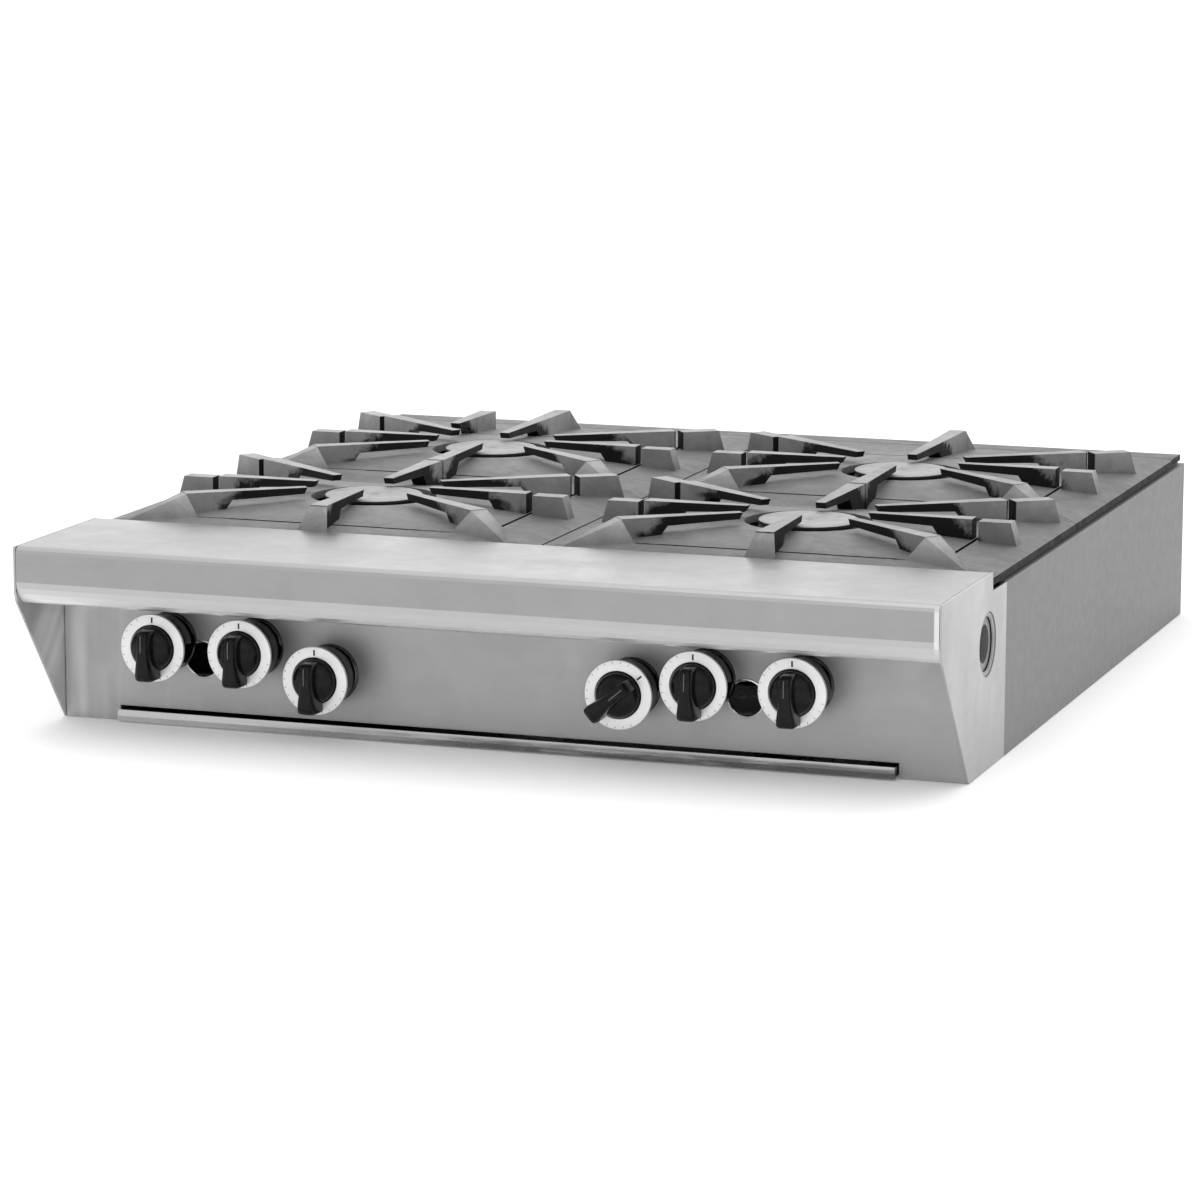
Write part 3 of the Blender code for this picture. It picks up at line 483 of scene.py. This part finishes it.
# ---------------------------------------------------------------- mesh helpers
def new_piece(name, bm, mat, body=BODY, origin=(0, 0, 0), bevel=None, segments=2, angle=30, stands_for=()):
    """Turn a bmesh into a named piece that rides a body."""
    bmesh.ops.remove_doubles(bm, verts=bm.verts[:], dist=1e-6)
    bmesh.ops.recalc_face_normals(bm, faces=bm.faces[:])
    mesh = bpy.data.meshes.new(name)
    bm.to_mesh(mesh)
    bm.free()
    mesh.materials.append(mat)
    mesh.shade_smooth()
    mesh.set_sharp_from_angle(angle=math.radians(angle))
    obj = bpy.data.objects.new(name, mesh)
    obj.location = origin
    bpy.context.scene.collection.objects.link(obj)
    if bevel:
        add_bevel(obj, bevel, segments, angle)
    bpy.context.view_layer.update()
    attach(obj, body)
    if stands_for:
        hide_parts(*stands_for)
    return obj


def add_bevel(obj, width, segments=2, angle=30):
    """Round a piece's sharp edges."""
    mod = obj.modifiers.new("edge_round", "BEVEL")
    mod.width = width
    mod.segments = segments
    mod.limit_method = "ANGLE"
    mod.angle_limit = math.radians(angle)
    mod.harden_normals = False


def circle(radius, count, centre=(0.0, 0.0), phase=0.0):
    """Points round a circle."""
    step = 2 * math.pi / count
    return [(centre[0] + radius * math.cos(phase + i * step),
             centre[1] + radius * math.sin(phase + i * step)) for i in range(count)]


def prism(bm, outline, low, high):
    """Closed solid between two copies of an outline."""
    first = [bm.verts.new(low(p)) for p in outline]
    second = [bm.verts.new(high(p)) for p in outline]
    count = len(outline)
    bm.faces.new(first)
    bm.faces.new(second[::-1])
    for i in range(count):
        j = (i + 1) % count
        bm.faces.new((first[i], second[i], second[j], first[j]))


def prism_x(bm, outline, x0, x1):
    """Outline in Y and Z drawn out along X."""
    prism(bm, outline, lambda p: (x0, p[0], p[1]), lambda p: (x1, p[0], p[1]))


def lathe(bm, profile, place, count=48, closed=False):
    """Profile of radius and height turned round an axis."""
    rings = []
    for radius, height in profile:
        if radius < 1e-7:
            rings.append([bm.verts.new(place(0.0, 0.0, height))])
        else:
            rings.append([bm.verts.new(place(px, py, height)) for px, py in circle(radius, count)])
    pairs = list(zip(rings, rings[1:]))
    if closed:
        pairs.append((rings[-1], rings[0]))
    for first, second in pairs:
        for i in range(count):
            j = (i + 1) % count
            if len(first) == 1:
                bm.faces.new((first[0], second[i], second[j]))
            elif len(second) == 1:
                bm.faces.new((first[i], second[0], first[j]))
            else:
                bm.faces.new((first[i], second[i], second[j], first[j]))


def axis_y(x=0.0, z=0.0):
    """Turning about Y, for lathe."""
    return lambda px, py, height: (x + px, height, z + py)


def axis_z(x=0.0, y=0.0):
    """Turning about Z, for lathe."""
    return lambda px, py, height: (x + px, y + py, height)


def paint(node, mat, bevel=None, segments=2):
    """Give a CAD node's own mesh a material and, if asked, rounded edges."""
    obj = NODES[node]
    obj.data.materials.clear()
    obj.data.materials.append(mat)
    obj.data.shade_smooth()
    obj.data.set_sharp_from_angle(angle=math.radians(30))
    if bevel:
        add_bevel(obj, bevel, segments)


# ---------------------------------------------------------------- carried-over CAD nodes
for node in NODES:
    if node.startswith("valve") or node.startswith("stem"):
        paint(node, BRASS)
    elif node.startswith("pilot"):
        paint(node, TUBING)
    elif node.startswith("air_shutter"):
        paint(node, INNER_SHEET)
    elif node.startswith("burner_") and node != "burner_box_baffle":
        paint(node, IRON_BURNER)
    elif node.startswith("grate"):
        paint(node, IRON_GRATE, 0.0007)
    elif node.startswith(("tray_rail", "cross_channel", "back_panel")):
        paint(node, INNER_SHEET)
# The top frame is painted dark as shade, so its edge reads as a shadow line under the grates.
paint("top_frame", FRAME_SHADE_SHEET)
# The burner box baffle is painted near-black, as painted shade in the burner well.
paint("burner_box_baffle", WELL_SHADE_SHEET)
paint("gas_manifold", PIPE)
paint("manifold_coupling", ZINC)
paint("rear_plate", IRON_PLATE)
paint("front_rail", STEEL_X)
paint("control_panel", STEEL_PANEL)
paint("drip_tray", STEEL_LIP)
for side in ("left", "right"):
    paint("end_cap_" + side, STEEL_CAP)
    paint("side_panel_" + side, SIDE_SHEET)


# ---------------------------------------------------------------- knobs and dials
def knob_mesh(bm):
    """Domed face, stepped skirt and hollow back, drawn about the stem axis."""
    profile = [(0.0, -0.0119), (0.0060, -0.0117), (0.0110, -0.0108), (0.0150, -0.0091), (0.0180, -0.0067)]
    profile += [(0.0199, -0.0036), (0.0207, 0.0), (0.0209, 0.0033), (0.0212, 0.0036), (0.0258, 0.0036)]
    profile += [(0.0268, 0.0041), (0.0273, 0.0050), (0.0275, 0.0064), (0.0275, 0.0100), (0.0270, 0.0106)]
    profile += [(0.0270, 0.0122), (0.0275, 0.0128), (0.0275, 0.0258), (0.0268, 0.0269), (0.0225, 0.0269)]
    profile += [(0.0215, 0.0262), (0.0215, 0.0180), (0.0, 0.0180)]
    lathe(bm, profile, axis_y(), 72)


def grip_mesh(bm):
    """Finger bar: waisted, rounded on top, flaring to a broad pointer at its foot."""
    sections = [(0.0186, 0.0048, -0.0150), (0.0178, 0.0056, -0.0212), (0.0150, 0.0058, -0.0246)]
    sections += [(0.0080, 0.0058, -0.0256), (0.0, 0.0060, -0.0257), (-0.0080, 0.0066, -0.0257)]
    sections += [(-0.0150, 0.0076, -0.0256), (-0.0215, 0.0085, -0.0250), (-0.0255, 0.0086, -0.0236)]
    sections += [(-0.0274, 0.0080, -0.0205)]
    rings = []
    for z, half, top in sections:
        shape = [(-half, GRIP_FOOT), (-half * 0.98, top * 0.62), (-half * 0.90, top * 0.86)]
        shape += [(-half * 0.72, top * 0.97), (-half * 0.38, top), (half * 0.38, top)]
        shape += [(half * 0.72, top * 0.97), (half * 0.90, top * 0.86)]
        shape += [(half * 0.98, top * 0.62), (half, GRIP_FOOT)]
        rings.append([bm.verts.new((px, py, z)) for px, py in shape])
    count = len(rings[0])
    for first, second in zip(rings, rings[1:]):
        for i in range(count):
            j = (i + 1) % count
            bm.faces.new((first[i], second[i], second[j], first[j]))
    bm.faces.new(rings[0])
    bm.faces.new(rings[-1][::-1])


def line_mesh(bm):
    """Filled index line along the upper half of the grip."""
    prism_x(bm, [(-0.02575, 0.0), (-0.02590, 0.0010), (-0.02590, 0.0125), (-0.02500, 0.0155),
                 (-0.02440, 0.0150), (-0.02500, 0.0120), (-0.02500, 0.0)], -0.00045, 0.00045)


def ring_mesh(bm):
    """Flat dial ring with softened edges."""
    profile = [(0.0214, 0.0004), (0.0218, 0.0), (0.0300, 0.0), (0.0308, 0.0003), (0.0312, 0.0010)]
    profile += [(0.0312, 0.0026), (0.0308, 0.0030), (0.0214, 0.0030)]
    lathe(bm, profile, axis_y(), 96, closed=True)


def tick_mesh(bm):
    """Index bar at the top of the ring and small graduation ticks beside it."""
    marks = [(0.0, 0.0232, 0.0284, 0.00085)]
    marks += [(step * 15.0, 0.0283, 0.0299, 0.00022) for step in range(-17, -1)]
    for degrees, inner, outer, half in marks:
        turn = Matrix.Rotation(math.radians(degrees), 3, "Y")
        corners = [(-half, inner), (half, inner), (half, outer), (-half, outer)]
        low = [bm.verts.new(turn @ Vector((px, 0.0002, pz))) for px, pz in corners]
        high = [bm.verts.new(turn @ Vector((px, -0.00012, pz))) for px, pz in corners]
        bm.faces.new(low)
        bm.faces.new(high[::-1])
        for i in range(4):
            j = (i + 1) % 4
            bm.faces.new((low[i], high[i], high[j], low[j]))


def bezel_mesh(bm):
    """Black stem boss on the panel behind a knob."""
    profile = [(0.0080, -0.0112), (0.0195, -0.0112), (0.0222, -0.0104), (0.0232, -0.0088), (0.0238, -0.0012)]
    profile += [(0.0238, 0.0), (0.0080, 0.0)]
    lathe(bm, profile, axis_y(), 56, closed=True)


def collar_mesh(bm):
    """Narrow turned ring round the foot of the boss."""
    profile = [(0.0240, 0.0), (0.0240, -0.0034), (0.0246, -0.0042), (0.0254, -0.0042), (0.0262, -0.0034)]
    profile += [(0.0268, -0.0016), (0.0270, -0.0005), (0.0270, 0.0)]
    lathe(bm, profile, axis_y(), 64, closed=True)


def knob_piece(label, number, draw, mat, body, stands_for=(), bevel=None, angle=35):
    """One visual piece at a dial, turned as its knob is drawn."""
    centre = middle("dial_%d" % number)
    bm = bmesh.new()
    draw(bm)
    turn = Matrix.Rotation(math.radians(KNOB_TURN.get(number, 0.0)), 4, "Y")
    bmesh.ops.transform(bm, matrix=turn, verts=bm.verts[:])
    place = (centre.x, DIAL_FRONT, centre.z)
    return new_piece("%s_%d" % (label, number), bm, mat, body, place, bevel, 2, angle, stands_for)


def build_knob_pieces(number):
    """All the visual pieces of one knob, and the two fixed ones behind it."""
    body = "knob_%d_turning" % number
    knob_piece("knob_body", number, knob_mesh, BLACK_PLASTIC, body, ("knob_%d" % number,))
    knob_piece("knob_grip", number, grip_mesh, BLACK_PLASTIC, body, bevel=0.0006, angle=50)
    knob_piece("knob_line", number, line_mesh, LINE_GREY, body)
    knob_piece("dial_ring", number, ring_mesh, DIAL_METAL, body, ("dial_%d" % number,))
    knob_piece("dial_marks", number, tick_mesh, PRINT_AND_HOLE_SHADE_BLACK, body)
    centre = middle("dial_%d" % number)
    foot = (centre.x, PANEL_Y - PANEL_GAP, centre.z)
    fixed = (("panel_bezel", bezel_mesh, BLACK_PLASTIC), ("panel_collar", collar_mesh, BLACK_CHROME))
    for label, draw, mat in fixed:
        bm = bmesh.new()
        draw(bm)
        new_piece("%s_%d" % (label, number), bm, mat, BODY, foot, angle=35)


LINE_GREY = machined("index_fill", (0.10, 0.10, 0.10), 0.45, 0.0, 0.1)
BLACK_CHROME = machined("black_chrome", (0.16, 0.16, 0.16), 0.14, 1.0, 0.1)
# Black for the dial's printed marks, and painted shade in the burner port holes.
PRINT_AND_HOLE_SHADE_BLACK = machined("index_and_hole_shade_black", (0.02, 0.02, 0.02), 0.45, 0.0, 0.1)
for knob_number in range(1, 7):
    build_knob_pieces(knob_number)


# ---------------------------------------------------------------- small fittings
def build_hole_rim(number, x, z):
    """Turned-over rim of a lighting hole, in steel painted pale as a highlight on the sheet edge."""
    bm = bmesh.new()
    profile = [(LIGHTING_R - 0.0004, 0.0014), (LIGHTING_R - 0.0004, -0.0002), (LIGHTING_R + 0.0004, -0.0009)]
    profile += [(LIGHTING_R + 0.0012, -0.0007), (LIGHTING_R + 0.0018, -0.0001)]
    lathe(bm, profile, axis_y(), 56, closed=True)
    new_piece("hole_rim_%d" % number, bm, RIM_HIGHLIGHT_STEEL, BODY, (x, PANEL_Y, z), angle=40)


def build_port_grommet():
    """Soft ring that closes the gap between the gas socket and the end cap's port."""
    socket = middle("manifold_coupling")
    profile = [(0.0243, 0.4290), (0.0243, 0.4298), (0.0250, 0.4305), (0.0262, 0.4309), (0.0276, 0.4310)]
    profile += [(0.0287, 0.4306), (0.0288, 0.4290)]
    bm = bmesh.new()
    lathe(bm, profile, lambda px, py, height: (height, socket.y + px, socket.z + py), 64, closed=True)
    new_piece("port_grommet", bm, GROMMET, BODY, angle=50)


for index, (hole_x, hole_z) in enumerate(LIGHTING_HOLES, 1):
    build_hole_rim(index, hole_x, hole_z)
build_port_grommet()


def star_centre(node):
    """Middle of a burner's star on the base plane."""
    return (-COLUMN_X if "left" in node else COLUMN_X, ROW_Y["rear" in node], 0.0)


def build_burner_cap(node):
    """Thin cap on the burner head: scoured top, with its rim painted black as shade."""
    profile = [(0.0, CAP_TOP - 0.0012), (0.0090, CAP_TOP - 0.0010), (0.0130, CAP_TOP), (0.0425, CAP_TOP)]
    profile += [(0.0452, CAP_TOP - 0.0004), (0.0464, CAP_TOP - 0.0012), (0.0466, CAP_TOP - 0.0020)]
    profile += [(0.0466, CROWN_TOP - 0.0012), (0.0, CROWN_TOP - 0.0012)]
    bm = bmesh.new()
    lathe(bm, profile, axis_z(), 72)
    new_piece("cap_" + node, bm, IRON_CAP, BODY, star_centre(node), angle=40)


def build_port_band(node):
    """Burner flame ports: a ring of small black plugs set in the head's side, painted black as the shade
    inside drilled holes.
    """
    bm = bmesh.new()
    for px, py in circle(1.0, PORT_COUNT):
        side = Vector((-py, px, 0))
        out = Vector((px, py, 0))
        ring = [out * 0.0471 + side * a + Vector((0, 0, PORT_Z + b)) for a, b in circle(PORT_R, 8)]
        back = [out * 0.0463 + side * a + Vector((0, 0, PORT_Z + b)) for a, b in circle(PORT_R, 8)]
        first = [bm.verts.new(v) for v in ring]
        second = [bm.verts.new(v) for v in back]
        bm.faces.new(first)
        bm.faces.new(second[::-1])
        for i in range(8):
            j = (i + 1) % 8
            bm.faces.new((first[i], first[j], second[j], second[i]))
    new_piece("ports_" + node, bm, PRINT_AND_HOLE_SHADE_BLACK, BODY, star_centre(node))


for burner in ("burner_front_left", "burner_front_right", "burner_rear_left", "burner_rear_right"):
    build_port_band(burner)
    build_burner_cap(burner)


# ---------------------------------------------------------------- floor, light, camera
FLOOR_HALF = 60.0
FLOOR_DROP = 0.0006
WORLD_FRONT = 0.75
WORLD_BACK = 1.50
SENSOR_MM = 36.0
FOCAL_PX = 4679.26
PICTURE_PX = 1200.0


def build_stage():
    """Plain pale floor under the range."""
    bm = bmesh.new()
    signs = ((-1, -1), (1, -1), (1, 1), (-1, 1))
    bm.faces.new([bm.verts.new((x * FLOOR_HALF, y * FLOOR_HALF, -FLOOR_DROP)) for x, y in signs])
    mesh = bpy.data.meshes.new("floor")
    bm.to_mesh(mesh)
    bm.free()
    g = Graph("floor_paper")
    cloud = g.noise((1, 1, 1), 0.8, 2.0, 0.5)
    paper = g.ramp(cloud, [(0.3, 0.93), (0.7, 0.95)])
    mesh.materials.append(g.set(Base_Color=paper, Roughness=0.85, Emission_Color=paper,
                                Emission_Strength=0.12))
    floor = bpy.data.objects.new("floor", mesh)
    bpy.context.scene.collection.objects.link(floor)


def area_light(name, place, target, size, power):
    """Soft rectangular lamp aimed at a point."""
    data = bpy.data.lights.new(name, "AREA")
    data.shape = "RECTANGLE"
    data.size, data.size_y = size
    data.energy = power
    lamp = bpy.data.objects.new(name, data)
    lamp.location = place
    lamp.rotation_mode = "QUATERNION"
    lamp.rotation_quaternion = (Vector(target) - Vector(place)).to_track_quat("-Z", "Y")
    bpy.context.scene.collection.objects.link(lamp)


def build_world():
    """White surroundings, brighter behind the range."""
    world = bpy.data.worlds.new("studio")
    bpy.context.scene.world = world
    world.use_nodes = True
    tree = world.node_tree
    background = tree.nodes["Background"]
    coords = tree.nodes.new("ShaderNodeTexCoord")
    split = tree.nodes.new("ShaderNodeSeparateXYZ")
    tree.links.new(coords.outputs["Generated"], split.inputs["Vector"])
    ramp = tree.nodes.new("ShaderNodeMapRange")
    ramp.inputs["From Min"].default_value = -1.0
    ramp.inputs["From Max"].default_value = 1.0
    ramp.inputs["To Min"].default_value = WORLD_FRONT
    ramp.inputs["To Max"].default_value = WORLD_BACK
    tree.links.new(split.outputs["Y"], ramp.inputs["Value"])
    tree.links.new(ramp.outputs["Result"], background.inputs["Strength"])
    background.inputs["Color"].default_value = (1, 1, 1, 1)


def build_camera():
    """Camera fitted to the photo's view of the body."""
    data = bpy.data.cameras.new("camera")
    data.sensor_width = SENSOR_MM
    data.lens = SENSOR_MM * FOCAL_PX / PICTURE_PX
    data.clip_end = 200.0
    camera = bpy.data.objects.new("camera", data)
    forward = Vector((-0.32154, 0.92984, -0.17890)).normalized()
    up = Vector((-0.06114, 0.16815, 0.98386)).normalized()
    right = forward.cross(up).normalized()
    up = right.cross(forward)
    camera.matrix_world = Matrix((
        (right.x, up.x, -forward.x, 1.42423),
        (right.y, up.y, -forward.y, FRONT - 3.75039),
        (right.z, up.z, -forward.z, 0.88185),
        (0, 0, 0, 1)))
    bpy.context.scene.collection.objects.link(camera)
    bpy.context.scene.camera = camera


build_stage()
build_world()
area_light("top_softbox", (0.2, 0.3, 2.6), (0, 0, 0.1), (2.6, 2.6), 18.0)
area_light("front_softbox", (0.6, -3.2, 1.6), (0, -0.3, 0.1), (2.0, 1.2), 6.0)
build_camera()
bpy.context.scene.view_settings.view_transform = "Standard"
